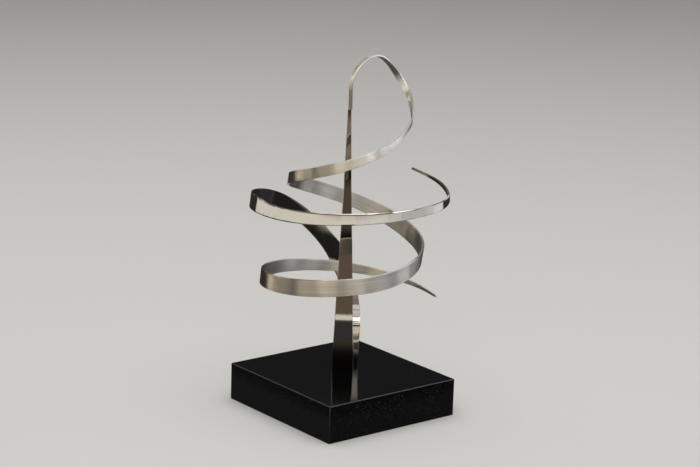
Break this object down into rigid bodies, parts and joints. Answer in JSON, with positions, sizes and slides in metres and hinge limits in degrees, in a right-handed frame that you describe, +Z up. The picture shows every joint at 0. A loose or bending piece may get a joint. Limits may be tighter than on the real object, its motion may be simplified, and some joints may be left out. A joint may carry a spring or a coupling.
{
  "type": "abstract metal sculpture",
  "caption": "Tabletop abstract sculpture: a tapered polished steel plate on a granite block, with a brushed ribbon coiling down round it and a polished ribbon ring.",
  "frame": {"origin": "centre of the plinth's underside", "axes": "+Z up; X and Y along the plinth's sides, X along its slightly longer side"},
  "size_m": [0.3196, 0.3154, 0.5684],
  "materials": {
    "polished_granite": "black granite, polished, fine grey speckle",
    "mirror_steel": "mirror polished stainless steel",
    "brushed_steel": "satin, brushed along its length",
    "polished_steel": "mirror polished stainless steel"
  },
  "bodies": {
    "root": {"plinth": "polished_granite", "upright_plate": "mirror_steel", "brushed_ribbon": "brushed_steel", "polished_ribbon": "polished_steel"}
  },
  "joints": []
}
